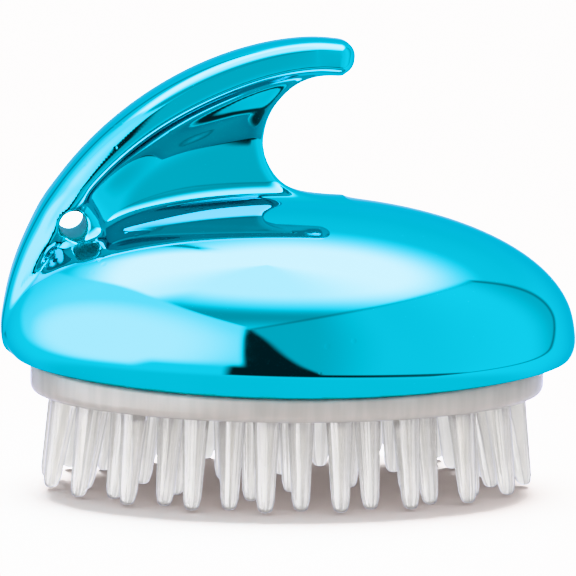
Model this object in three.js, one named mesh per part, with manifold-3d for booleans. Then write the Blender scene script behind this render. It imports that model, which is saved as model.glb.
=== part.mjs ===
// Scalp massager brush: a plated handle shell with a curved grip fin, a backing plate screwed
// into it from below, and a soft silicone brush head that pulls off downwards for washing.
// Millimetres, +Z up, +X towards the free end of the fin. The origin is in the middle of the
// footprint, on the surface that the bristle tips stand on.
import * as THREE from "three";
import { mergeVertices } from "three/addons/utils/BufferGeometryUtils.js";
import Module from "manifold-3d";

const wasm = await Module();
wasm.setup();

// ---- Driving dimensions ----

// The dome is half a slightly squared ellipsoid over its widest line and a flatter one under it.
const DOME = {
  halfLength: 46,
  halfWidth: 30.5,
  widestAt: 24.8,
  rise: 21.8,
  drop: 14.7,
  rake: 0.2, // the part under the widest line leans this much towards +X per mm
  lean: 1.2, // the top lies this far towards -X, and the sides under it less and less
  power: 2.08, // squareness of the side view
  wall: 2.2,
};
const RIM_Z = 18.6;

// The fin's outer line, seen from the side, is a superellipse about this centre.
const FIN = {
  centreX: 3.5,
  centreZ: 25.7,
  reach: 49.4,
  height: 46.4,
  power: 1.8,
  startAngle: -4,
  endAngle: 96,
};
// Along the fin's rib: share of its length, half thickness and half width.
const RIB_SECTIONS = [
  { at: 0, halfThickness: 2, halfWidth: 2.5 },
  { at: 0.14, halfThickness: 2, halfWidth: 6.4 },
  { at: 0.35, halfThickness: 2.4, halfWidth: 7.4 },
  { at: 0.7, halfThickness: 3.1, halfWidth: 6.2 },
  { at: 1, halfThickness: 2.75, halfWidth: 5 },
];
const RIB_POWER = 2.5; // squareness of the rib's section
const RIB_STEPS = 18;
const RIB_SIDES = 14;
// The web fills the space between the rib, the dome and the round mouth for a finger.
const WEB = {
  thickness: 3.4,
  rearX: -38,
  frontX: 8,
  footZ: 30,
  ribFrom: 0.22,
  ribTo: 0.9,
  ribSteps: 12,
  mouth: { x: 6.9, z: 56, radius: 11.2, from: 125, to: 238 },
};
const EYELET = { x: -35, z: 42.8, bossRadius: 2.9, bossLength: 10.4, holeRadius: 2.15 };

// Three self-tapping screws hold the plate to posts inside the dome.
const SCREW_PLACES = [
  { x: -22, y: 0 },
  { x: 19, y: 11 },
  { x: 19, y: -11 },
];
const POST = { radius: 3, bore: 1.6, top: 45, boreDepth: 11 };
const SCREW = {
  headRadius: 2.5,
  headEdge: 0.3,
  headHeight: 1.2,
  shankRadius: 1.3,
  length: 10,
  pointRadius: 0.4,
  pointLength: 1,
  slotLength: 2.8,
  slotWidth: 0.6,
  slotDepth: 0.7,
};
const PLATE = { halfLength: 35.6, halfWidth: 22.8, bottom: 18.9, thickness: 1.8 };

const BASE = {
  halfLength: 41.3,
  halfWidth: 27.2,
  bottom: 14.6,
  top: 18.3,
  chamfer: 1,
  rib: { halfLength: 37.6, halfWidth: 24.8, thickness: 1.4, top: 21.2 },
};
const BRISTLE = {
  rootRadius: 2.2,
  shoulderRadius: 1.25,
  flatRadius: 0.7,
  shoulderHeight: 0.8,
  plug: 2.6,
};
// Bristles stand on ellipses, at even angles; lean is the outward slope of a bristle.
const RINGS = [
  { name: "outer", count: 20, halfLength: 36.4, halfWidth: 23.9, first: 9, lean: 0.155, tip: 0.4 },
  { name: "second", count: 18, halfLength: 31, halfWidth: 20.4, first: 0, lean: 0.155, tip: 0 },
  { name: "third", count: 10, halfLength: 22, halfWidth: 13.8, first: 18, lean: 0.08, tip: 0 },
  { name: "inner", count: 6, halfLength: 11, halfWidth: 6.8, first: 0, lean: 0.03, tip: 0 },
];

const GAP = 0.3; // clearance between pieces that touch
const ROUND_SIDES = 12;

const radians = THREE.MathUtils.degToRad;

// ---- Solids ----

// A closed geometry as a solid that can be joined and cut.
function solidOf(geometry) {
  const bare = geometry.clone();
  bare.deleteAttribute("normal");
  bare.deleteAttribute("uv");
  const merged = mergeVertices(bare, 1e-4);
  const corners = merged.index.array;
  const kept = [];
  for (let i = 0; i < corners.length; i += 3) {
    const [a, b, c] = corners.subarray(i, i + 3);
    if (a !== b && b !== c && c !== a) kept.push(a, b, c);
  }
  return new wasm.Manifold(
    new wasm.Mesh({
      numProp: 3,
      vertProperties: new Float32Array(merged.attributes.position.array),
      triVerts: new Uint32Array(kept),
    }),
  );
}

function geometryOf(solid) {
  const mesh = solid.getMesh();
  const geometry = new THREE.BufferGeometry();
  geometry.setAttribute("position", new THREE.BufferAttribute(mesh.vertProperties, 3));
  geometry.setIndex(new THREE.BufferAttribute(mesh.triVerts, 1));
  geometry.computeVertexNormals();
  return geometry;
}

// A profile of [radius, z] points, from the bottom up, turned about the Z axis.
function turned(profile, sides) {
  const points = profile.map(([radius, z]) => new THREE.Vector2(radius, z));
  return new THREE.LatheGeometry(points, sides).rotateX(Math.PI / 2);
}

function cylinder(radius, bottom, top, sides = ROUND_SIDES) {
  return turned([[0, bottom], [radius, bottom], [radius, top], [0, top]], sides);
}

// A flat slab with an elliptical outline; a chamfer, if any, runs round its lower edge.
function ellipseSlab(halfLength, halfWidth, bottom, top, chamfer = 0, sides = 48) {
  const narrow = 1 - chamfer / halfWidth;
  const profile = [[0, bottom], [narrow, bottom], [1, bottom + chamfer], [1, top], [0, top]];
  if (chamfer === 0) profile.splice(1, 1);
  return turned(profile, sides).scale(halfLength, halfWidth, 1);
}

// Rings of equal point counts, joined in order and closed at both ends.
function lofted(rings) {
  const sides = rings[0].length;
  const points = rings.flat();
  const faces = [];
  for (let row = 0; row + 1 < rings.length; row++) {
    for (let i = 0; i < sides; i++) {
      const a = row * sides + i;
      const b = row * sides + ((i + 1) % sides);
      faces.push(a, a + sides, b, b, a + sides, b + sides);
    }
  }
  for (let i = 1; i + 1 < sides; i++) {
    const last = (rings.length - 1) * sides;
    faces.push(0, i, i + 1, last, last + i + 1, last + i);
  }
  return new THREE.BufferGeometry().setFromPoints(points).setIndex(faces);
}

// ---- Handle shell ----

// A sine or cosine bent so that a circle turns into a superellipse of that power.
function squared(value, power) {
  return Math.sign(value) * Math.abs(value) ** (2 / power);
}

// The dome's form down to the level floor, each side moved inwards by inset.
function domeForm(inset, floor, sides, steps) {
  const profile = [[0, floor]];
  const lowerSteps = 4;
  for (let i = 0; i < lowerSteps; i++) {
    const z = THREE.MathUtils.lerp(floor, DOME.widestAt, i / lowerSteps);
    const share = (DOME.widestAt - z) / DOME.drop;
    profile.push([(1 - share ** DOME.power) ** (1 / DOME.power), z]);
  }
  for (let i = 0; i < steps; i++) {
    const angle = ((Math.PI / 2) * i) / steps;
    const up = squared(Math.sin(angle), DOME.power);
    profile.push([squared(Math.cos(angle), DOME.power), DOME.widestAt + (DOME.rise - inset) * up]);
  }
  profile.push([0, DOME.widestAt + DOME.rise - inset]);
  const form = turned(profile, sides);
  form.scale(DOME.halfLength - inset, DOME.halfWidth - inset, 1);
  const places = form.attributes.position;
  for (let i = 0; i < places.count; i++) {
    const above = places.getZ(i) - DOME.widestAt;
    const shift = above < 0 ? -DOME.rake * above : -DOME.lean * (above / DOME.rise) ** 2;
    places.setX(i, places.getX(i) + shift);
  }
  return form;
}

// The fin's outer line as a curve in the XZ plane.
class FinLine extends THREE.Curve {
  getPoint(share, target = new THREE.Vector3()) {
    const angle = radians(THREE.MathUtils.lerp(FIN.startAngle, FIN.endAngle, share));
    const x = FIN.centreX - FIN.reach * squared(Math.cos(angle), FIN.power);
    return target.set(x, 0, FIN.centreZ + FIN.height * squared(Math.sin(angle), FIN.power));
  }
}

const finLine = new FinLine();

// Place, direction and half sizes of the rib's section at a share of its length.
function ribStation(share) {
  const next = Math.max(1, RIB_SECTIONS.findIndex((section) => section.at >= share));
  const from = RIB_SECTIONS[next - 1];
  const to = RIB_SECTIONS[next];
  const mix = (share - from.at) / (to.at - from.at);
  const halfThickness = THREE.MathUtils.lerp(from.halfThickness, to.halfThickness, mix);
  const halfWidth = THREE.MathUtils.lerp(from.halfWidth, to.halfWidth, mix);
  const along = finLine.getTangent(share);
  const outward = new THREE.Vector3(-along.z, 0, along.x);
  const centre = finLine.getPoint(share).addScaledVector(outward, -halfThickness);
  return { centre, along, outward, halfThickness, halfWidth };
}

// One section of the rib, moved forward and shrunk where the end is rounded.
function ribSection(station, forward = 0, shrink = 1) {
  return Array.from({ length: RIB_SIDES }, (_, i) => {
    const angle = (2 * Math.PI * (i + 0.5)) / RIB_SIDES;
    const rise = station.halfThickness * shrink * squared(Math.cos(angle), RIB_POWER);
    const side = station.halfWidth * shrink * squared(Math.sin(angle), RIB_POWER);
    return station.centre
      .clone()
      .addScaledVector(station.along, forward)
      .addScaledVector(station.outward, rise)
      .setY(side);
  });
}

function finRib() {
  const rings = [];
  for (let i = 0; i <= RIB_STEPS; i++) rings.push(ribSection(ribStation(i / RIB_STEPS)));
  const tip = ribStation(1);
  for (const angle of [radians(35), radians(62), radians(82)]) {
    rings.push(ribSection(tip, tip.halfThickness * Math.sin(angle), Math.cos(angle)));
  }
  return lofted(rings);
}

// The web runs up the middle of the rib, round the mouth, and down into the dome.
function finWeb() {
  const { mouth } = WEB;
  const outline = new THREE.Shape();
  outline.moveTo(WEB.rearX, WEB.footZ);
  for (let i = 0; i <= WEB.ribSteps; i++) {
    const share = THREE.MathUtils.lerp(WEB.ribFrom, WEB.ribTo, i / WEB.ribSteps);
    const { centre } = ribStation(share);
    outline.lineTo(centre.x, centre.z);
  }
  outline.absarc(mouth.x, mouth.z, mouth.radius, radians(mouth.from), radians(mouth.to), false);
  outline.lineTo(WEB.frontX, DOME.widestAt + DOME.rise - DOME.wall);
  outline.lineTo(WEB.frontX, WEB.footZ);
  const plate = new THREE.ExtrudeGeometry(outline, {
    depth: WEB.thickness,
    bevelEnabled: false,
    curveSegments: 10,
  });
  return plate.rotateX(Math.PI / 2).translate(0, WEB.thickness / 2, 0);
}

// A round bar along Y at the lanyard eyelet.
function eyeletBar(radius, length) {
  const bar = new THREE.CylinderGeometry(radius, radius, length, 20);
  return bar.translate(EYELET.x, 0, EYELET.z);
}

function handleShell() {
  let shell = solidOf(domeForm(0, RIM_Z, 56, 12))
    .add(solidOf(finRib()))
    .add(solidOf(finWeb()))
    .add(solidOf(eyeletBar(EYELET.bossRadius, EYELET.bossLength)))
    .subtract(solidOf(domeForm(DOME.wall, RIM_Z - 1, 40, 8)));
  const midWall = solidOf(domeForm(DOME.wall / 2, RIM_Z, 40, 8));
  const foot = PLATE.bottom + PLATE.thickness + GAP;
  for (const { x, y } of SCREW_PLACES) {
    const post = solidOf(cylinder(POST.radius, foot, POST.top).translate(x, y, 0));
    const bore = cylinder(POST.bore, foot - 1, foot + POST.boreDepth).translate(x, y, 0);
    shell = shell.add(post.intersect(midWall)).subtract(solidOf(bore));
  }
  const hole = eyeletBar(EYELET.holeRadius, 2 * DOME.halfWidth);
  return geometryOf(shell.subtract(solidOf(hole)));
}

// ---- Backing plate and screws ----

// The countersunk form of a screw from its head's face upwards, grown by a clearance.
function screwForm(clearance) {
  return turned(
    [
      [0, -clearance],
      [SCREW.headRadius + clearance, -clearance],
      [SCREW.headRadius + clearance, SCREW.headEdge],
      [SCREW.shankRadius + clearance, SCREW.headHeight],
      [SCREW.shankRadius + clearance, SCREW.length - SCREW.pointLength],
      [SCREW.pointRadius, SCREW.length],
      [0, SCREW.length],
    ],
    ROUND_SIDES,
  );
}

function backingPlate() {
  const { halfLength, halfWidth, bottom, thickness } = PLATE;
  let plate = solidOf(ellipseSlab(halfLength, halfWidth, bottom, bottom + thickness));
  for (const { x, y } of SCREW_PLACES) {
    plate = plate.subtract(solidOf(screwForm(GAP).translate(x, y, bottom)));
  }
  return geometryOf(plate);
}

function plateScrew() {
  let screw = solidOf(screwForm(0));
  for (const turn of [0, Math.PI / 2]) {
    const slot = new THREE.BoxGeometry(SCREW.slotLength, SCREW.slotWidth, 2 * SCREW.slotDepth);
    screw = screw.subtract(solidOf(slot.rotateZ(turn)));
  }
  return geometryOf(screw);
}

// ---- Brush head ----

// Every bristle's place on the base, its outward direction and its ring.
function bristlePlaces() {
  return RINGS.flatMap((ring) =>
    Array.from({ length: ring.count }, (_, i) => {
      const angle = radians(ring.first + (360 * i) / ring.count);
      const x = ring.halfLength * Math.sin(angle);
      const y = -ring.halfWidth * Math.cos(angle);
      const outward = Math.atan2(y / ring.halfWidth ** 2, x / ring.halfLength ** 2);
      const name = `bristle_${ring.name}_${String(i + 1).padStart(2, "0")}`;
      return { ring, name, x, y, outward };
    }),
  );
}

// A slab with a socket for each bristle, and a rib that pushes up into the shell's mouth.
function bristleBase() {
  const { halfLength, halfWidth, bottom, top, chamfer, rib } = BASE;
  const ribOuter = ellipseSlab(rib.halfLength, rib.halfWidth, top - 1, rib.top);
  const ribInner = ellipseSlab(
    rib.halfLength - rib.thickness,
    rib.halfWidth - rib.thickness,
    top,
    rib.top + 1,
  );
  let base = solidOf(ellipseSlab(halfLength, halfWidth, bottom, top, chamfer))
    .add(solidOf(ribOuter))
    .subtract(solidOf(ribInner));
  const socket = cylinder(BRISTLE.rootRadius + GAP, bottom - 1, bottom + BRISTLE.plug + GAP, 10);
  for (const { x, y } of bristlePlaces()) {
    base = base.subtract(solidOf(socket.clone().translate(x, y, 0)));
  }
  return geometryOf(base);
}

// A tapered silicone bristle; its origin is where it leaves the base, and it leans along +X.
function bristle(ring) {
  const length = BASE.bottom - ring.tip;
  const { rootRadius, shoulderRadius, flatRadius, shoulderHeight, plug } = BRISTLE;
  const form = turned(
    [
      [0, -length],
      [flatRadius, -length],
      [shoulderRadius, shoulderHeight - length],
      [rootRadius, 0],
      [rootRadius, plug],
      [0, plug],
    ],
    10,
  );
  const places = form.attributes.position;
  for (let i = 0; i < places.count; i++) {
    const below = Math.max(0, -places.getZ(i));
    places.setX(i, places.getX(i) + ring.lean * below);
  }
  return geometryOf(solidOf(form));
}

// ---- Materials ----

const platedCyan = new THREE.MeshStandardMaterial({ color: 0x00b9e0, roughness: 0.08, metalness: 1 });
const whitePlastic = new THREE.MeshStandardMaterial({ color: 0xe8e8e4, roughness: 0.5 });
const zincSteel = new THREE.MeshStandardMaterial({ color: 0xb9bcc0, roughness: 0.35, metalness: 1 });
const clearSilicone = new THREE.MeshStandardMaterial({ color: 0xd9d3d0, roughness: 0.3 });

// ---- Assembly ----

function piece(name, geometry, material) {
  const mesh = new THREE.Mesh(geometry, material.clone());
  mesh.name = name;
  return mesh;
}

function handle() {
  const group = new THREE.Group();
  group.add(piece("handle_shell", handleShell(), platedCyan));
  group.add(piece("backing_plate", backingPlate(), whitePlastic));
  const screw = plateScrew();
  SCREW_PLACES.forEach(({ x, y }, i) => {
    const mesh = piece(`plate_screw_${i + 1}`, screw, zincSteel);
    mesh.position.set(x, y, PLATE.bottom);
    group.add(mesh);
  });
  return group;
}

function brushHead() {
  const group = new THREE.Group();
  group.add(piece("bristle_base", bristleBase(), clearSilicone));
  const forms = new Map(RINGS.map((ring) => [ring, bristle(ring)]));
  for (const { ring, name, x, y, outward } of bristlePlaces()) {
    const mesh = piece(name, forms.get(ring), clearSilicone);
    mesh.position.set(x, y, BASE.bottom);
    mesh.rotation.z = outward;
    group.add(mesh);
  }
  return group;
}

const massager = new THREE.Group();
massager.add(handle(), brushHead());

export default massager;
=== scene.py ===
# Scalp massager brush: a plated cyan handle shell with a curved grip fin, and a clear silicone
# brush head under it. Shapes are worked out in millimetres and put into the scene in metres.
import math

import bpy
import numpy as np
from mathutils import Matrix, Vector


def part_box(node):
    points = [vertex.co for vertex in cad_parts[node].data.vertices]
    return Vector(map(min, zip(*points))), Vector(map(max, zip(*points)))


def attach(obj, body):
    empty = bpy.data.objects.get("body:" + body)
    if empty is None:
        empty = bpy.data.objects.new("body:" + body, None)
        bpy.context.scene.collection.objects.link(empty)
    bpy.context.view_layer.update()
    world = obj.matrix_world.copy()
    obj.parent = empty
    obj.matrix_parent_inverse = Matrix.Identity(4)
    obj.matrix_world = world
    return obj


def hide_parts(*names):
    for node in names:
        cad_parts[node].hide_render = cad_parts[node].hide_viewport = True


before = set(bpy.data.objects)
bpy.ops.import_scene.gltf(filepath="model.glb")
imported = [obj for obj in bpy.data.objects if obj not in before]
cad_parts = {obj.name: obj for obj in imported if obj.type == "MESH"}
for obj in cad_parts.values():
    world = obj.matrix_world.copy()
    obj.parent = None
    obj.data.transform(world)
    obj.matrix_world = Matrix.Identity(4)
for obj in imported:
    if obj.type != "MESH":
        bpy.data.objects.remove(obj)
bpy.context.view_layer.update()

MM = 0.001


def box_mm(node):
    """Lowest and highest corner of a CAD node, in millimetres."""
    low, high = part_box(node)
    return np.array(low) / MM, np.array(high) / MM


SHELL_LOW, SHELL_HIGH = box_mm("handle_shell")
BASE_LOW, BASE_HIGH = box_mm("bristle_base")

# ---- Sizes of the handle shell, as in the CAD model ----

DOME_SIZE = (SHELL_HIGH - SHELL_LOW)[:2] / 2
DOME_RISE = 21.8
DOME_DROP = 14.7
WIDEST_Z = 24.8
DOME_RAKE = 0.2
DOME_LEAN = 1.2
DOME_POWER = 2.08
WALL = 2.2
RIM_Z = SHELL_LOW[2]

FIN_CENTRE = np.array([3.5, 25.7])
FIN_REACH = np.array([49.4, 46.4])
FIN_POWER = 1.8
FIN_ANGLES = (-4.0, 96.0)
RIB_SHARES = [0, 0.14, 0.35, 0.7, 1]
RIB_HALF_THICKNESS = [2, 2, 2.4, 3.1, 2.75]
RIB_HALF_WIDTH = [2.5, 6.4, 7.4, 6.2, 5]
MOUTH = (6.9, 56.0, 11.2)
EYELET = (-35.0, 42.8)
BOSS_RADIUS = 2.9
BOSS_HALF_LENGTH = 5.2
HOLE_RADIUS = 2.15
SCREW_PLACES = [(-22, 0), (19, 11), (19, -11)]
POST_RADIUS = 3.0
POST_FOOT = 21.0
BORE_RADIUS = 1.6
BORE_DEPTH = 11.0

# ---- Finer forms that only this model of the shell has ----

WAIST_BLEND = 9.0  # height over which the dome's lower half turns into its upper half
RIB_POWER = 3.2  # squareness of the rib's section, which is rounder in the CAD
RIB_TAPER = 0.09  # the rib's outer face is this much narrower than its middle
WEB_HALF_THICKNESS = 1.9
WEB_HOLLOW = 1.1  # the web is this much thinner on each side along its middle
WEB_HOLLOW_PLACE = (7.5, 3.8)  # the hollow's height over the dome, and its spread
BOSS_ROOT = 2.6  # the web swells this much on each side round the boss
BOSS_ROOT_SPREAD = 5.5
FIN_FILLETS = (0.8, 10.0)  # where the web meets the rib: over it, and how much more under it
DOME_FILLETS = (1.0, 5.0)  # where the fin meets the dome, in the same way
UNDER_RIB = 7.0  # how far under the rib those fillets reach their full size
TIP_SHARES = (0.72, 0.16)  # where along the rib its tip begins, and the share that this takes
TIP_FILLET_LOSS = 0.25
MOUTH_EDGE_ROUNDING = 2.6
BOSS_FILLET = 5.0
BOSS_EDGE_ROUNDING = 2.0
HOLE_ROUNDING = 1.0
WALL_ROUNDING = 0.5
POST_FILLET = 0.6
BORE_ROUNDING = 0.3
RIM_ROUNDING = 0.7
RIM_BOW = 1.72  # how much higher the rim's ends are than its middle
RIM_BOW_MIDDLE = 0.2
RIM_BOW_HALF_LENGTH = 41

CELL = 0.4  # edge of the grid that the shell's skin is drawn on
SETTLING_ROUNDS = 4

# ---- Smooth solids as distance functions: negative inside ----


def join(a, b, blend):
    """Union with a soft fillet."""
    near = np.maximum(blend - np.abs(a - b), 0) / blend
    return np.minimum(a, b) - near**3 * blend / 6


def cut(a, b, blend):
    """a without b, with a softened edge."""
    return -join(-a, b, blend)


def common(a, b, blend):
    """What a and b share, with a softened edge."""
    return -join(-a, -b, blend)


def smooth_step(share):
    share = np.clip(share, 0, 1)
    return share * share * (3 - 2 * share)


def softened(value, width):
    """max(0, value) without its corner."""
    return (value + np.sqrt(value**2 + width**2)) / 2


def bow(x):
    """How far the rim and the pad under it curve up towards their ends."""
    return RIM_BOW * ((x - RIM_BOW_MIDDLE) / RIM_BOW_HALF_LENGTH) ** 2


def dome_distance(x, y, z, inset):
    """Half an ellipsoid above the widest line, and a flatter one that leans forwards under it."""
    above = z - WIDEST_Z
    share = smooth_step(above / WAIST_BLEND + 0.5)
    height = (DOME_DROP - inset) * (1 - share) + (DOME_RISE - inset) * share
    length, width = DOME_SIZE - inset
    x = x - DOME_RAKE * softened(-above, 2.0) + DOME_LEAN * (np.maximum(above, 0) / DOME_RISE) ** 2
    plan = np.sqrt((x / length) ** 2 + (y / width) ** 2)
    k0 = (plan**DOME_POWER + np.abs(above / height) ** DOME_POWER) ** (1 / DOME_POWER)
    k1 = np.sqrt((x / length**2) ** 2 + (y / width**2) ** 2 + (above / height**2) ** 2)
    return k0 * (k0 - 1) / np.maximum(k1, 1e-6)


def powered(value, power):
    """A sine or cosine bent so that a circle turns into a superellipse of that power."""
    return np.sign(value) * np.abs(value) ** (2 / power)


class Rib:
    """The fin's rib: its centre line in the XZ plane, with half sizes along it."""

    steps = 2400

    def __init__(self):
        share = np.linspace(0, 1, self.steps)
        line = self.outer_line(share)
        along = np.gradient(line, axis=0)
        along /= np.linalg.norm(along, axis=1)[:, None]
        self.outward = np.stack([-along[:, 1], along[:, 0]], 1)
        self.thickness = self.eased(share, RIB_HALF_THICKNESS)
        self.width = self.eased(share, RIB_HALF_WIDTH)
        self.centre = line - self.outward * self.thickness[:, None]
        step = np.gradient(self.centre, axis=0)
        self.spacing = np.linalg.norm(step, axis=1)
        self.along = step / self.spacing[:, None]
        self.start = np.array([SHELL_LOW[0] - 4, RIM_Z - 4])
        self.guesses = self.nearest_steps()

    def outer_line(self, share):
        angle = np.radians(FIN_ANGLES[0] + (FIN_ANGLES[1] - FIN_ANGLES[0]) * share)
        x = FIN_CENTRE[0] - FIN_REACH[0] * powered(np.cos(angle), FIN_POWER)
        z = FIN_CENTRE[1] + FIN_REACH[1] * powered(np.sin(angle), FIN_POWER)
        return np.stack([x, z], 1)

    def eased(self, share, values):
        """The values along the rib, with their corners smoothed away."""
        raw = np.interp(share, RIB_SHARES, values)
        window = self.steps // 8
        padded = np.pad(raw, window, mode="reflect", reflect_type="odd")
        kernel = np.hanning(2 * window + 1)
        return np.convolve(padded, kernel / kernel.sum(), mode="valid")

    def nearest_steps(self):
        """The nearest step of the centre line for each square of a coarse grid."""
        size = np.ceil((np.array([SHELL_HIGH[0], SHELL_HIGH[2]]) + 6 - self.start) / CELL)
        x = self.start[0] + CELL * np.arange(int(size[0]))
        z = self.start[1] + CELL * np.arange(int(size[1]))
        rows = []
        for place in x:
            gap = (place - self.centre[:, 0]) ** 2 + (z[:, None] - self.centre[:, 1]) ** 2
            rows.append(gap.argmin(axis=1))
        return np.array(rows)

    def at(self, place, values):
        """Values of the line at fractional steps."""
        low = np.clip(np.floor(place).astype(int), 0, self.steps - 2)
        mix = place - low
        if values.ndim > 1:
            mix = mix[..., None]
        return values[low] * (1 - mix) + values[low + 1] * mix

    def local(self, x, z):
        """Step, distance outwards from the centre line, and distance past its end."""
        i = np.clip(np.rint((x - self.start[0]) / CELL).astype(int), 0, self.guesses.shape[0] - 1)
        j = np.clip(np.rint((z - self.start[1]) / CELL).astype(int), 0, self.guesses.shape[1] - 1)
        place = self.guesses[i, j].astype(float)
        point = np.stack([x, z], -1)
        for _ in range(4):
            offset = point - self.at(place, self.centre)
            ahead = (offset * self.at(place, self.along)).sum(-1)
            place = np.clip(place + ahead / self.at(place, self.spacing), 0, self.steps - 1)
        offset = point - self.at(place, self.centre)
        outwards = (offset * self.at(place, self.outward)).sum(-1)
        past = (offset * self.at(place, self.along)).sum(-1)
        return place, outwards, np.where(place > self.steps / 2, np.maximum(past, 0), past)


RIB = Rib()


def rib_distance(y, place, outwards, past):
    """The rib: a squarish section along its centre line, rounded past its end."""
    thick = RIB.at(place, RIB.thickness)
    wide = RIB.at(place, RIB.width)
    y = y * (1 + RIB_TAPER * np.clip(outwards / thick, -1.5, 1.5))
    across = np.abs(outwards / thick) ** RIB_POWER + np.abs(y / wide) ** RIB_POWER
    size = np.sqrt(across ** (2 / RIB_POWER) + (past / thick) ** 2 + 1e-9)
    slope = np.sqrt((outwards / thick**2) ** 2 + (y / wide**2) ** 2 + (past / thick**2) ** 2)
    return size * (size - 1) / np.maximum(slope, 0.02)


def web_distance(x, y, z, outwards, above_dome):
    """The web between rib, dome and mouth: hollow low down, and thicker round the eyelet."""
    mouth_x, mouth_z, radius = MOUTH
    region = radius - np.sqrt((x - mouth_x) ** 2 + (z - mouth_z) ** 2)
    region = common(region, outwards + 1.0, 1.0)
    region = np.maximum(region, x - mouth_x)
    hollow_height, hollow_spread = WEB_HOLLOW_PLACE
    hollow = WEB_HOLLOW * np.exp(-(((above_dome - hollow_height) / hollow_spread) ** 2))
    swelling = BOSS_ROOT * np.exp(-((bar_distance(x, z, 0) / BOSS_ROOT_SPREAD) ** 2))
    return common(np.abs(y) - WEB_HALF_THICKNESS + hollow - swelling, region, MOUTH_EDGE_ROUNDING)


def bar_distance(x, z, radius):
    """A round bar along Y through the eyelet."""
    return np.sqrt((x - EYELET[0]) ** 2 + (z - EYELET[1]) ** 2) - radius


def fin_distance(x, y, z, rib_place, under, above_dome):
    """Rib and web, with a wide fillet under the rib that is less wide near the tip."""
    tip_start, tip_blend = TIP_SHARES
    near_tip = smooth_step((rib_place[0] / RIB.steps - tip_start) / tip_blend)
    fillet = FIN_FILLETS[0] + FIN_FILLETS[1] * under * (1 - TIP_FILLET_LOSS * near_tip)
    web = web_distance(x, y, z, rib_place[1], above_dome)
    return join(web, rib_distance(y, *rib_place), fillet)


def with_screw_posts(skin, x, y, z):
    """The skin with its inner posts, each with a bore for a screw."""
    middle = dome_distance(x, y, z, WALL / 2)
    for post_x, post_y in SCREW_PLACES:
        axis = np.sqrt((x - post_x) ** 2 + (y - post_y) ** 2)
        post = np.maximum(np.maximum(axis - POST_RADIUS, POST_FOOT - z), middle)
        bore = np.maximum(axis - BORE_RADIUS, z - POST_FOOT - BORE_DEPTH)
        skin = cut(join(skin, post, POST_FILLET), bore, BORE_ROUNDING)
    return skin


def shell_distance(x, y, z):
    """The whole handle shell: dome, rib, web, eyelet, hollow and screw posts."""
    flat_x, flat_z = np.broadcast_arrays(x, z)
    rib_place = RIB.local(flat_x, flat_z)
    outer = dome_distance(x, y, z, 0)
    under = smooth_step(-rib_place[1] / UNDER_RIB)
    fin = fin_distance(x, y, z, rib_place, under, outer)
    boss = common(bar_distance(x, z, BOSS_RADIUS), np.abs(y) - BOSS_HALF_LENGTH, BOSS_EDGE_ROUNDING)
    skin = join(outer, fin, DOME_FILLETS[0] + DOME_FILLETS[1] * under)
    skin = join(skin, boss, BOSS_FILLET)
    skin = cut(skin, bar_distance(x, z, HOLE_RADIUS), HOLE_ROUNDING)
    skin = cut(skin, dome_distance(x, y, z, WALL), WALL_ROUNDING)
    skin = with_screw_posts(skin, x, y, z)
    return common(skin, RIM_Z + bow(x) - z, RIM_ROUNDING)


def gradient(distance, points):
    """Outward direction of the skin at each point."""
    step = 0.06
    slopes = []
    for axis in range(3):
        ahead, behind = points.copy(), points.copy()
        ahead[:, axis] += step
        behind[:, axis] -= step
        slopes.append((distance(*ahead.T) - distance(*behind.T)) / (2 * step))
    return np.stack(slopes, 1)


def crossings(grid, axis):
    """The grid's edges along an axis that cross the skin: cells, points, and which start inside."""
    first = [slice(None)] * 3
    second = [slice(None)] * 3
    first[axis], second[axis] = slice(None, -1), slice(1, None)
    a, b = grid[tuple(first)], grid[tuple(second)]
    cells = np.argwhere((a < 0) != (b < 0))
    start, end = a[tuple(cells.T)], b[tuple(cells.T)]
    points = cells.astype(float)
    points[:, axis] += start / (start - end)
    return cells, points, start < 0


def cells_round(cells, axis):
    """The four cells round each edge, in order."""
    for step in ((0, 0), (1, 0), (1, 1), (0, 1)):
        cell = cells.copy()
        cell[:, (axis + 1) % 3] -= step[0]
        cell[:, (axis + 2) % 3] -= step[1]
        yield cell


def net_of(distance, low, high):
    """Quads round the zero surface of a distance function, one corner to each grid cell."""
    axes = [np.arange(a, b + CELL, CELL) for a, b in zip(low, high)]
    grid = distance(axes[0][:, None, None], axes[1][None, :, None], axes[2][None, None, :])
    total = np.zeros((*grid.shape, 3))
    count = np.zeros(grid.shape)
    edges = []
    for axis in range(3):
        cells, crossing, outwards = crossings(grid, axis)
        corners = list(cells_round(cells, axis))
        for cell in corners:
            np.add.at(total, tuple(cell.T), crossing)
            np.add.at(count, tuple(cell.T), 1)
        edges.append((corners, outwards))
    used = np.argwhere(count > 0)
    number = np.full(grid.shape, -1)
    number[tuple(used.T)] = np.arange(len(used))
    points = total[tuple(used.T)] / count[tuple(used.T)][:, None]
    quads = []
    for corners, outwards in edges:
        quad = np.stack([number[tuple(cell.T)] for cell in corners], 1)
        quads.append(np.where(outwards[:, None], quad, quad[:, ::-1]))
    return np.array(low) + CELL * points, np.concatenate(quads)


def neighbour_means(points, pairs):
    """The mean of every corner's neighbours along the quads' edges."""
    count = len(points)
    sums = [np.bincount(pairs[:, 0], points[pairs[:, 1], axis], count) for axis in range(3)]
    return np.stack(sums, 1) / np.bincount(pairs[:, 0], minlength=count)[:, None]


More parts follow.
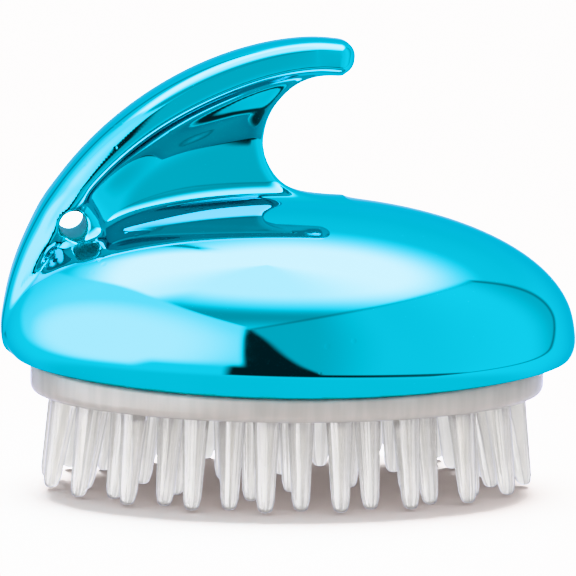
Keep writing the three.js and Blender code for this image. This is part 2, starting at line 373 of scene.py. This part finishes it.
def settled(distance, points, quads):
    """Evens out the quads along the skin and puts every corner exactly on it."""
    pairs = np.concatenate([quads[:, [i, (i + 1) % 4]] for i in range(4)])
    pairs = np.concatenate([pairs, pairs[:, ::-1]])
    for turn in range(SETTLING_ROUNDS + 2):
        slope = gradient(distance, points)
        size = np.maximum((slope**2).sum(1, keepdims=True), 0.05)
        points = points - np.clip(distance(*points.T)[:, None] * slope / size, -CELL / 2, CELL / 2)
        if turn < SETTLING_ROUNDS:
            normal = slope / np.sqrt(size)
            shift = neighbour_means(points, pairs) - points
            points = points + 0.5 * (shift - (shift * normal).sum(1, keepdims=True) * normal)
    slope = gradient(distance, points)
    return points, slope / np.linalg.norm(slope, axis=1)[:, None]


def put_in_scene(obj):
    bpy.context.scene.collection.objects.link(obj)
    return obj


def mesh_object(name, points_mm, faces, normals=None):
    """A smooth-shaded mesh object from points in millimetres."""
    mesh = bpy.data.meshes.new(name)
    mesh.from_pydata([tuple(p) for p in np.asarray(points_mm) * MM], [], [tuple(f) for f in faces])
    mesh.shade_smooth()
    if normals is not None:
        mesh.normals_split_custom_set_from_vertices([tuple(n) for n in normals])
    return put_in_scene(bpy.data.objects.new(name, mesh))


def handle_shell():
    """The plated shell's skin, drawn from its distance function."""
    low = SHELL_LOW - 2 * CELL
    high = SHELL_HIGH + 2 * CELL
    points, quads = net_of(shell_distance, low, high)
    points, normals = settled(shell_distance, points, quads)
    return mesh_object("plated_handle", points, quads.tolist(), normals)


# ---- Brush head ----

BASE_BOTTOM = BASE_LOW[2]
BASE_TOP = 18.3
BASE_SIZE = (BASE_HIGH - BASE_LOW)[:2] / 2
SEAT_RIB_INSET = 3.7
SEAT_RIB_TOP = BASE_HIGH[2]
SEAT_RIB_THICKNESS = 1.4
PAD_FOOT_ROUNDING = 1.3
PAD_TOP_ROUNDING = 0.5
SEAT_RIB_ROUNDING = 0.4
PAD_FOOT_BOW = 0.3  # the share of its top's curve that the pad's underside has
DEEPEST_INSET = 12.0  # an offset of the outline crosses itself further in than this
MIDDLE_INSETS = (120, 40, 24, 17, 12, 8)  # rings that close the pad's flat faces


def ellipse_ring(inset, z, sides=160):
    """A ring of points an even distance inside the base's outline, or shrunk to its middle."""
    angle = np.linspace(0, 2 * np.pi, sides, endpoint=False)
    length, width = BASE_SIZE
    edge = np.stack([length * np.cos(angle), width * np.sin(angle)], 1)
    normal = np.stack([np.cos(angle) / length, np.sin(angle) / width], 1)
    normal /= np.linalg.norm(normal, axis=1)[:, None]
    flat = (edge - min(inset, DEEPEST_INSET) * normal) * DEEPEST_INSET / max(inset, DEEPEST_INSET)
    return np.column_stack([flat, np.full(sides, z)])


def lofted(name, rings):
    """Rings of equal counts joined in order, with a fan at each end."""
    sides = len(rings[0])
    points = np.concatenate([*rings, [rings[0].mean(0)], [rings[-1].mean(0)]])
    faces = []
    for row in range(len(rings) - 1):
        for i in range(sides):
            j = (i + 1) % sides
            here, above = row * sides, (row + 1) * sides
            faces.append((here + i, here + j, above + j, above + i))
    first, last = len(points) - 2, len(points) - 1
    top = (len(rings) - 1) * sides
    for i in range(sides):
        j = (i + 1) % sides
        faces.append((first, j, i))
        faces.append((last, top + i, top + j))
    return mesh_object(name, points, faces)


def arc(centre_inset, centre_z, radius, start, end, steps):
    """(inset, z) points round a rounded edge; angle 0 points outwards and 90 up."""
    for angle in np.radians(np.linspace(start, end, steps)):
        yield centre_inset - radius * np.cos(angle), centre_z + radius * np.sin(angle)


def pad_profile():
    """(inset, z) points from the middle of the pad's underside to the middle of its top."""
    bottom, top, edge = BASE_BOTTOM, BASE_TOP, SEAT_RIB_ROUNDING
    foot, shoulder = PAD_FOOT_ROUNDING, PAD_TOP_ROUNDING
    outer, inner = SEAT_RIB_INSET, SEAT_RIB_INSET + SEAT_RIB_THICKNESS
    profile = [(inset, bottom) for inset in (*MIDDLE_INSETS, 4)]
    profile += arc(foot, bottom + foot, foot, -90, 0, 7)
    profile += arc(shoulder, top - shoulder, shoulder, 0, 90, 5)
    profile += arc(outer, top + edge, edge, 180, 90, 2)
    profile += arc(outer + edge, SEAT_RIB_TOP - edge, edge, 0, 90, 4)
    profile += arc(inner - edge, SEAT_RIB_TOP - edge, edge, 90, 180, 4)
    profile += [(inner + 0.2, top)] + [(inset, top) for inset in reversed(MIDDLE_INSETS)]
    return profile


def silicone_base():
    """The pad: its top bows up as the shell's rim does, and its underside less."""
    rings = [ellipse_ring(inset, z) for inset, z in pad_profile()]
    for ring in rings:
        height = (ring[:, 2] - BASE_BOTTOM) / (BASE_TOP - BASE_BOTTOM)
        lift = PAD_FOOT_BOW + (1 - PAD_FOOT_BOW) * smooth_step(height)
        ring[:, 2] += lift * bow(ring[:, 0])
    return lofted("silicone_base", rings)


def bristle_names():
    return sorted(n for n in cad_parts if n.startswith("bristle_") and n != "bristle_base")


ROOT_RADIUS = 2.2
TIP_RADIUS = 1.22
TIP_BLUNTNESS = 0.7
TIP_HEIGHT = 0.9  # of the tip's radius
SIDE_SHARES = (0.12, 0.92)  # how much of the taper is done at the side's two ends
PLUG = 2.6
PLUG_ROUNDING = 0.3
BRISTLE_SIDES = 28


def bristle_profile(length):
    """(radius, height) points from the tip, up the side, to the top of the plug in the pad."""
    profile = []
    for angle in np.radians(np.linspace(86, 4, 9)):
        radius = TIP_RADIUS * np.cos(angle) ** TIP_BLUNTNESS
        profile.append((radius, TIP_HEIGHT * TIP_RADIUS * (1 - np.sin(angle))))
    start, end = SIDE_SHARES
    for share in np.linspace(0.12, 0.94, 9):
        radius = TIP_RADIUS + (ROOT_RADIUS - TIP_RADIUS) * (start + (end - start) * share)
        profile.append((radius, share * length))
    profile += [(ROOT_RADIUS, length), (ROOT_RADIUS, length + PLUG * 0.5)]
    return profile + [(ROOT_RADIUS - PLUG_ROUNDING, length + PLUG)]


def end_centres(name):
    """Where the CAD's bristle leaves the pad and where its tip is, seen from above."""
    points = np.array([v.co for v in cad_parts[name].data.vertices]) / MM
    root = points[points[:, 2] > BASE_BOTTOM - 0.01]
    foot = points[points[:, 2] < points[:, 2].min() + 0.01]
    return [(end[:, :2].min(0) + end[:, :2].max(0)) / 2 for end in (root, foot)]


def bristle(name):
    """A tapered bristle with a blunt round tip, leaning from its root to its tip as in the CAD."""
    low, _ = box_mm(name)
    root, foot = end_centres(name)
    length = BASE_BOTTOM - low[2]
    turn = np.linspace(0, 2 * np.pi, BRISTLE_SIDES, endpoint=False)
    loops = []
    for radius, height in bristle_profile(length):
        x, y = foot + (root - foot) * min(height / length, 1)
        z = np.full(BRISTLE_SIDES, low[2] + height)
        loops.append(np.column_stack([x + radius * np.cos(turn), y + radius * np.sin(turn), z]))
    return lofted("soft_" + name, loops)


# ---- Materials ----


class Nodes:
    """Short helpers to lay out a node tree."""

    def __init__(self, tree):
        self.tree = tree

    def new(self, kind, inputs=None, **settings):
        node = self.tree.nodes.new("ShaderNode" + kind)
        for key, value in settings.items():
            setattr(node, key, value)
        for key, value in (inputs or {}).items():
            if isinstance(value, bpy.types.NodeSocket):
                self.tree.links.new(value, node.inputs[key])
            else:
                node.inputs[key].default_value = value
        return node

    def math(self, operation, *values):
        return self.new("Math", dict(enumerate(values)), operation=operation).outputs[0]

    def square(self, value):
        return self.math("MULTIPLY", value, value)

    def step(self, value, width):
        """0 to 1 as value passes from -width to width."""
        inputs = {"Value": value, "From Min": -width, "From Max": width}
        return self.new("MapRange", inputs, interpolation_type="SMOOTHSTEP").outputs[0]

    def noise(self, scale, detail, vector):
        inputs = {"Scale": scale, "Detail": detail, "Vector": vector}
        return self.new("TexNoise", inputs).outputs["Fac"]

    def ramp(self, value, *stops):
        """A blend between two stops, each a place and a colour or a grey."""
        node = self.new("ValToRGB", {"Fac": value})
        for element, (place, colour) in zip(node.color_ramp.elements, stops):
            element.position = place
            element.color = (*(colour if isinstance(colour, tuple) else (colour,) * 3), 1)
        return node.outputs["Color"]

    def bump(self, height, strength, distance):
        inputs = {"Height": height, "Strength": strength, "Distance": distance}
        return self.new("Bump", inputs).outputs["Normal"]


def new_material(name):
    """A material with its node helpers, its shader and the place on the object."""
    material = bpy.data.materials.new(name)
    material.use_nodes = True
    tree = material.node_tree
    nodes = Nodes(tree)
    shader = tree.nodes["Principled BSDF"]
    place = nodes.new("TexCoord").outputs["Object"]
    return material, nodes, shader, place


def link(nodes, source, shader, name):
    nodes.tree.links.new(source, shader.inputs[name])


def set_inputs(shader, **values):
    for name, value in values.items():
        shader.inputs[name.replace("_", " ")].default_value = value


BORE_MARGIN = 0.2
BORE_BLEND = 0.15
BORE_DULLNESS = 0.4  # how much less metallic, and how much rougher, the bore's wall is


def inside_bore(nodes, place):
    """1 on the eyelet's inner wall, where the plating is thin, and 0 elsewhere."""
    x, _, z = nodes.new("SeparateXYZ", {0: place}).outputs
    x = nodes.math("SUBTRACT", x, EYELET[0] * MM)
    z = nodes.math("SUBTRACT", z, EYELET[1] * MM)
    radius = nodes.math("SQRT", nodes.math("ADD", nodes.square(x), nodes.square(z)))
    depth = nodes.math("SUBTRACT", (HOLE_RADIUS + BORE_MARGIN) * MM, radius)
    return nodes.step(depth, BORE_BLEND * MM)


def specks_and_waves(nodes, place):
    """Height of the plating: long shallow waves, with patches of pits."""
    specks = nodes.new("TexVoronoi", {"Vector": place, "Scale": 420.0}).outputs["Distance"]
    patches = nodes.step(nodes.math("SUBTRACT", nodes.noise(60, 2, place), 0.62), 0.03)
    pits = nodes.math("MULTIPLY", nodes.step(nodes.math("SUBTRACT", 0.16, specks), 0.06), patches)
    waves = nodes.noise(90, 1, place)
    return nodes.math("SUBTRACT", nodes.math("MULTIPLY", waves, 0.25), pits)


def plated_cyan():
    """Vacuum-plated plastic under clear cyan lacquer: a mirror with faint specks and waves."""
    material, nodes, shader, place = new_material("plated_cyan")
    drift = nodes.noise(35, 2, place)
    colour = nodes.ramp(drift, (0.3, (0.0, 0.545, 0.575)), (0.7, (0.0, 0.575, 0.605)))
    link(nodes, colour, shader, "Base Color")
    set_inputs(shader, Specular_Tint=(0.05, 0.6, 0.66, 1))
    bore = inside_bore(nodes, place)
    link(nodes, nodes.math("MULTIPLY_ADD", bore, -BORE_DULLNESS, 1), shader, "Metallic")
    smear = nodes.ramp(nodes.noise(260, 3, place), (0.35, 0.02), (0.75, 0.06))
    link(nodes, nodes.math("MULTIPLY_ADD", bore, BORE_DULLNESS, smear), shader, "Roughness")
    link(nodes, nodes.bump(specks_and_waves(nodes, place), 0.25, 0.00004), shader, "Normal")
    return material


def clear_silicone(name, tint, transmission, softness=0.0):
    """Moulded translucent silicone with faint flow lines along the pull of the mould."""
    material, nodes, shader, place = new_material(name)
    stretch = nodes.new("Mapping", {"Vector": place, "Scale": (1, 1, 0.12)}).outputs["Vector"]
    streaks = nodes.noise(600, 2, stretch)
    dark = tuple(part * 0.96 for part in tint)
    pale = tuple(min(1, part * 1.06) for part in tint)
    link(nodes, nodes.ramp(streaks, (0.35, dark), (0.65, pale)), shader, "Base Color")
    set_inputs(shader, IOR=1.41, Specular_IOR_Level=0.35, Specular_Tint=(0.95, 0.92, 0.7, 1))
    set_inputs(shader, Transmission_Weight=transmission, Subsurface_Weight=softness)
    set_inputs(shader, Subsurface_Radius=(1, 0.9, 0.85), Subsurface_Scale=0.004)
    haze = nodes.noise(500, 2, place)
    link(nodes, nodes.ramp(haze, (0.3, 0.08), (0.7, 0.18)), shader, "Roughness")
    link(nodes, nodes.bump(streaks, 0.06, 0.00008), shader, "Normal")
    return material


def moulded_white():
    """White moulded plastic with a fine grain, for the hidden plate."""
    material, nodes, shader, place = new_material("moulded_white_plastic")
    drift = nodes.noise(120, 3, place)
    colour = nodes.ramp(drift, (0.3, (0.74, 0.74, 0.72)), (0.7, (0.8, 0.8, 0.78)))
    link(nodes, colour, shader, "Base Color")
    grain = nodes.noise(1500, 2, place)
    link(nodes, nodes.ramp(grain, (0.3, 0.42), (0.7, 0.55)), shader, "Roughness")
    link(nodes, nodes.bump(grain, 0.15, 0.00005), shader, "Normal")
    return material


def zinc_steel():
    """Zinc-plated steel, for the hidden screws."""
    material, nodes, shader, place = new_material("zinc_plated_steel")
    drift = nodes.noise(900, 3, place)
    colour = nodes.ramp(drift, (0.3, (0.55, 0.56, 0.58)), (0.7, (0.66, 0.67, 0.68)))
    link(nodes, colour, shader, "Base Color")
    set_inputs(shader, Metallic=1)
    link(nodes, nodes.ramp(drift, (0.3, 0.25), (0.7, 0.4)), shader, "Roughness")
    link(nodes, nodes.bump(drift, 0.2, 0.00003), shader, "Normal")
    return material


# ---- Light and camera ----

# The light tent as a mirror sees it, in degrees: side 0 is the camera's side and 90 the object's
# +X side; height is above the horizon. An edge is the angle where something changes, and half the
# width that it changes over. A bend is that of a parabola, which peaks at a side or a height.
TENT_TINT = (1.05, 1.09, 1.43, 1)  # makes up for the light that the plating takes out
CAMERA_WHITE = (30, 30, 30, 1)  # bright enough for the background to show as plain white
SWEEP = dict(light=1.05, low_light=0.85, low_edge=(-42, 8))
DIM = dict(light=0.5, round_light=0.95, at=-15, round_edge=(52, 30), foot_edge=(28, 8))
ROOF = dict(gain=16.0, foot=57, blend=12, front=20, front_drop=9)
ROOF_CUT = dict(at=-98, half_side=45, blend=14, drop=14)  # the roof comes lower at the left
RIGHT_PANEL = dict(peak=52, at=75, bend=0.0040, left=-1, left_lean=-0.36, right=118, foot=-33)
RIGHT_BEND = dict(at=20, bend=0.02)
RIGHT_GLOW = (((18, 12), 0.92), ((60, 25), 1.05), ((100, 14), 0.72))
RIGHT_GLOW_START = 0.64
FRAME = dict(top=0.6, right=3.0, foot=7.0, slit=14, slit_lean=-0.12, blend=2.0)
FRAME_LIGHT = dict(light=0.02, side_light=0.3, side_edge=(50, 40))
LEFT_PANEL = dict(peak=55.5, at=-80, bend=0.0063, right=-12)
LEFT_FOOT = dict(height=-28.0, step=13.0, step_edge=(-46, 7), bend=0.0125, bend_from=-72, blend=7)
LEFT_GLOW = dict(light=2.4, back_light=1.3, back_edge=(-118, 22))
HOT_SPOT = dict(at=-60, height=6, half_side=46, half_height=36, light=6.5, edge=(0.8, 0.5))
POLE = dict(at=-157, half_side=3.0, top=70, foot=-12, blend=3.0, light=0.4)
PANEL_BLEND = 1.5
CLEAR_FIELD = dict(side_light=0.45, side_edge=(35, 25), low_light=0.85, low_blend=6)


class Tent(Nodes):
    """Strength of the tent's light in a direction, as a node tree."""

    def __init__(self, tree):
        super().__init__(tree)
        x, y, z = self.new("SeparateXYZ", {0: self.new("TexCoord").outputs["Generated"]}).outputs
        self.side = self.math("DEGREES", self.math("ARCTAN2", x, self.math("MULTIPLY", y, -1)))
        self.height = self.math("DEGREES", self.math("ARCSINE", z))

    def parabola(self, value, peak, at, bend):
        across = self.square(self.math("SUBTRACT", value, at))
        return self.math("SUBTRACT", peak, self.math("MULTIPLY", across, bend))

    def past(self, value, edge):
        """1 where value is over the edge, and 0 under it."""
        return self.step(self.math("SUBTRACT", value, edge[0]), edge[1])

    def short_of(self, value, edge):
        """1 where value is under the edge, and 0 over it."""
        return self.step(self.math("SUBTRACT", edge[0], value), edge[1])

    def away_from(self, at):
        return self.math("ABSOLUTE", self.math("SUBTRACT", self.side, at))

    def under_top(self, panel):
        top = self.parabola(self.side, panel["peak"], panel["at"], panel["bend"])
        return self.math("SUBTRACT", top, self.height)

    def least(self, *values):
        result = values[0]
        for value in values[1:]:
            result = self.math("MINIMUM", result, value)
        return result

    def layer(self, below, mask, strength):
        """The strength laid over what is below, where the mask is 1."""
        return self.math("MULTIPLY_ADD", mask, self.math("SUBTRACT", strength, below), below)

    def sweep(self):
        """The white sweep round the object, dimmer high up in front."""
        low = self.short_of(self.height, SWEEP["low_edge"])
        total = self.layer(SWEEP["light"], low, SWEEP["low_light"])
        beside = self.past(self.away_from(DIM["at"]), DIM["round_edge"])
        dim = self.layer(DIM["light"], beside, DIM["round_light"])
        return self.layer(total, self.past(self.height, DIM["foot_edge"]), dim)

    def roof(self):
        """How much brighter the tent's roof is than what is under it."""
        turn = self.math("SUBTRACT", self.side, ROOF["front"])
        turn = self.math("COSINE", self.math("RADIANS", turn))
        foot = self.math("MULTIPLY_ADD", turn, -ROOF["front_drop"], ROOF["foot"])
        cut_edge = (ROOF_CUT["half_side"], ROOF_CUT["blend"])
        beside = self.short_of(self.away_from(ROOF_CUT["at"]), cut_edge)
        foot = self.math("MULTIPLY_ADD", beside, -ROOF_CUT["drop"], foot)
        return self.math("POWER", ROOF["gain"], self.past(self.height, (foot, ROOF["blend"])))

    def with_right_panel(self, total):
        """The right panel in its dark frame, with the camera's slit on its left."""
        side, height = self.side, self.height
        right = self.parabola(height, RIGHT_PANEL["right"], RIGHT_BEND["at"], RIGHT_BEND["bend"])
        top = self.under_top(RIGHT_PANEL)
        from_foot = self.math("SUBTRACT", height, RIGHT_PANEL["foot"])
        left_of = self.math("SUBTRACT", right, side)
        slit = self.math("MULTIPLY_ADD", height, FRAME["slit_lean"], FRAME["slit"])
        frame_edges = self.least(
            self.math("ADD", top, FRAME["top"]),
            self.math("ADD", left_of, FRAME["right"]),
            self.math("ADD", from_foot, FRAME["foot"]),
            self.math("ADD", slit, side),
        )
        beside = self.past(side, FRAME_LIGHT["side_edge"])
        darkness = self.layer(FRAME_LIGHT["light"], beside, FRAME_LIGHT["side_light"])
        total = self.layer(total, self.step(frame_edges, FRAME["blend"]), darkness)
        left = self.math("MULTIPLY_ADD", height, RIGHT_PANEL["left_lean"], RIGHT_PANEL["left"])
        panel_edges = self.least(top, left_of, from_foot, self.math("SUBTRACT", side, left))
        glow = RIGHT_GLOW_START
        for edge, light in RIGHT_GLOW:
            glow = self.layer(glow, self.past(side, edge), light)
        return self.layer(total, self.step(panel_edges, PANEL_BLEND), glow)

    def above_left_foot(self):
        """1 over the left panel's lower edge, which steps up and then curves."""
        bent = self.math("SUBTRACT", self.side, LEFT_FOOT["bend_from"])
        foot = self.math("MULTIPLY", self.square(self.math("MINIMUM", bent, 0.0)), LEFT_FOOT["bend"])
        step_up = self.math("MULTIPLY", self.past(self.side, LEFT_FOOT["step_edge"]), LEFT_FOOT["step"])
        foot = self.math("ADD", self.math("ADD", foot, step_up), LEFT_FOOT["height"])
        return self.past(self.height, (foot, LEFT_FOOT["blend"]))

    def hot_spot(self):
        """1 in the bright middle of the left panel."""
        across = self.math("SUBTRACT", self.side, HOT_SPOT["at"])
        across = self.square(self.math("DIVIDE", across, HOT_SPOT["half_side"]))
        along = self.math("SUBTRACT", self.height, HOT_SPOT["height"])
        along = self.square(self.math("DIVIDE", along, HOT_SPOT["half_height"]))
        return self.short_of(self.math("ADD", across, along), HOT_SPOT["edge"])

    def with_left_panel(self, total):
        """The left panel, with its hot spot."""
        inside = self.least(
            self.under_top(LEFT_PANEL), self.math("SUBTRACT", LEFT_PANEL["right"], self.side)
        )
        mask = self.math("MULTIPLY", self.step(inside, PANEL_BLEND), self.above_left_foot())
        behind = self.short_of(self.side, LEFT_GLOW["back_edge"])
        fading = self.layer(LEFT_GLOW["light"], behind, LEFT_GLOW["back_light"])
        return self.layer(total, mask, self.layer(fading, self.hot_spot(), HOT_SPOT["light"]))

    def with_pole(self, total):
        """The dim pole behind the left panel."""
        inside = self.least(
            self.math("SUBTRACT", POLE["half_side"], self.away_from(POLE["at"])),
            self.math("SUBTRACT", POLE["top"], self.height),
            self.math("SUBTRACT", self.height, POLE["foot"]),
        )
        return self.layer(total, self.step(inside, POLE["blend"]), POLE["light"])

    def strength(self):
        """The whole tent."""
        total = self.math("MULTIPLY", self.sweep(), self.roof())
        return self.with_pole(self.with_left_panel(self.with_right_panel(total)))

    def clear_field(self):
        """What is seen through clear parts: white, but darker at the sides and from below."""
        field = CLEAR_FIELD
        turn = self.math("SUBTRACT", self.math("ABSOLUTE", self.side), 90)
        off_side = self.past(self.math("ABSOLUTE", turn), field["side_edge"])
        bright = self.layer(field["side_light"], off_side, 1.0)
        low = self.layer(field["low_light"], self.step(self.height, field["low_blend"]), 1.0)
        return self.math("MULTIPLY", bright, low)

    def mix(self, factor, first, second, blend_type="MIX"):
        inputs = {"Fac": factor, "Color1": first, "Color2": second}
        return self.new("MixRGB", inputs, blend_type=blend_type).outputs[0]


def light_tent():
    """White all round, but mirrors see the tent's panels and clear parts see a softer field."""
    world = bpy.data.worlds.new("light_tent")
    world.use_nodes = True
    bpy.context.scene.world = world
    world.cycles.sampling_method = "NONE"
    tent = Tent(world.node_tree)
    panels = tent.mix(1.0, TENT_TINT, tent.strength(), "MULTIPLY")
    ray = tent.new("LightPath").outputs
    through = ray["Is Transmission Ray"]
    white = tent.math("MULTIPLY_ADD", tent.math("SUBTRACT", tent.clear_field(), 1), through, 1)
    by_mirror = tent.math("MULTIPLY", ray["Is Glossy Ray"], tent.math("SUBTRACT", 1, through))
    unseen = tent.mix(by_mirror, white, panels)
    seen = tent.mix(ray["Is Camera Ray"], unseen, CAMERA_WHITE)
    world.node_tree.links.new(seen, world.node_tree.nodes["Background"].inputs["Color"])


FLOOR_HALF_SIZE = 3.0
OVERHEAD = dict(spread=40, strength=21, colour=(0.86, 0.965, 1.0), place=(0.05, 0.4, 1.0))
FILL = dict(size=0.8, watts=3.0, place=(-0.1, -0.9, 0.25), tilt=78)


def floor():
    """A plain pale floor that only the camera sees."""
    mesh = bpy.data.meshes.new("floor")
    half = FLOOR_HALF_SIZE
    corners = [(-half, -half, 0), (half, -half, 0), (half, half, 0), (-half, half, 0)]
    mesh.from_pydata(corners, [], [(0, 1, 2, 3)])
    obj = put_in_scene(bpy.data.objects.new("floor", mesh))
    obj.visible_glossy = False
    obj.visible_diffuse = False
    obj.visible_transmission = False
    material, _, shader, _ = new_material("pale_floor")
    set_inputs(shader, Base_Color=(0.84, 0.75, 0.725, 1), Roughness=1, Specular_IOR_Level=0)
    mesh.materials.append(material)
    return obj


def overhead_light(receiver):
    """Even soft light over the floor alone, from a little behind the object."""
    lamp = bpy.data.lights.new("overhead", "SUN")
    lamp.angle = math.radians(OVERHEAD["spread"])
    lamp.energy = OVERHEAD["strength"]
    lamp.color = OVERHEAD["colour"]
    obj = put_in_scene(bpy.data.objects.new("overhead", lamp))
    obj.rotation_euler = Vector(OVERHEAD["place"]).to_track_quat("Z", "Y").to_euler()
    group = bpy.data.collections.new("floor_only")
    group.objects.link(receiver)
    obj.light_linking.receiver_collection = group


def front_fill():
    """A large soft light from the camera's side, which mirrors don't see."""
    lamp = bpy.data.lights.new("front_fill", "AREA")
    lamp.size = FILL["size"]
    lamp.energy = FILL["watts"]
    obj = put_in_scene(bpy.data.objects.new("front_fill", lamp))
    obj.location = FILL["place"]
    obj.rotation_euler = (math.radians(FILL["tilt"]), 0, 0)
    obj.visible_glossy = False


CAMERA_AIM = (-0.0003, 0, 0.0322)
CAMERA_SHIFT = (0.00014, -0.00042)  # of the aim, across and up the picture
CAMERA_TURN = (-6.06, 8.77, 0.89)  # azimuth, elevation and roll in degrees
CAMERA_DISTANCE = 0.747
CAMERA_LENS = 291.8


def camera():
    """The camera at the photograph's viewing angle."""
    azimuth, elevation, roll = (math.radians(angle) for angle in CAMERA_TURN)
    level = Vector((-math.sin(azimuth), math.cos(azimuth), 0))
    forward = level * math.cos(elevation) - Vector((0, 0, math.sin(elevation)))
    right = Vector((math.cos(azimuth), math.sin(azimuth), 0))
    up = right.cross(forward)
    aim = Vector(CAMERA_AIM) + right * CAMERA_SHIFT[0] + up * CAMERA_SHIFT[1]
    turned_right = right * math.cos(roll) + up * math.sin(roll)
    turned_up = up * math.cos(roll) - right * math.sin(roll)
    data = bpy.data.cameras.new("camera")
    data.lens = CAMERA_LENS
    data.sensor_width = 36
    data.clip_start, data.clip_end = 0.01, 20
    obj = put_in_scene(bpy.data.objects.new("camera", data))
    axes = Matrix((turned_right, turned_up, -forward)).transposed().to_4x4()
    obj.matrix_world = Matrix.Translation(aim - forward * CAMERA_DISTANCE) @ axes
    bpy.context.scene.camera = obj


# ---- Assembly ----


def paint(obj, material):
    obj.data.materials.clear()
    obj.data.materials.append(material)


def finished(obj, material, body, slot, *nodes):
    """Gives a piece its material, and puts it in the place of its CAD node."""
    paint(obj, material)
    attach(obj, body)
    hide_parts(*nodes)


camera()
light_tent()
overhead_light(floor())
front_fill()
finished(handle_shell(), plated_cyan(), "handle", "plated_shell", "handle_shell")
base_silicone = clear_silicone("base_silicone", (0.74, 0.69, 0.665), 0.4, 0.4)
bristle_silicone = clear_silicone("bristle_silicone", (0.92, 0.91, 0.90), 0.9)
finished(silicone_base(), base_silicone, "brush_head", "silicone_base", "bristle_base")
for name in bristle_names():
    finished(bristle(name), bristle_silicone, "brush_head", "silicone_bristles", name)
white, steel = moulded_white(), zinc_steel()
for name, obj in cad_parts.items():
    if name == "backing_plate" or name.startswith("plate_screw"):
        paint(obj, white if name == "backing_plate" else steel)

bpy.context.scene.view_settings.view_transform = "Khronos PBR Neutral"
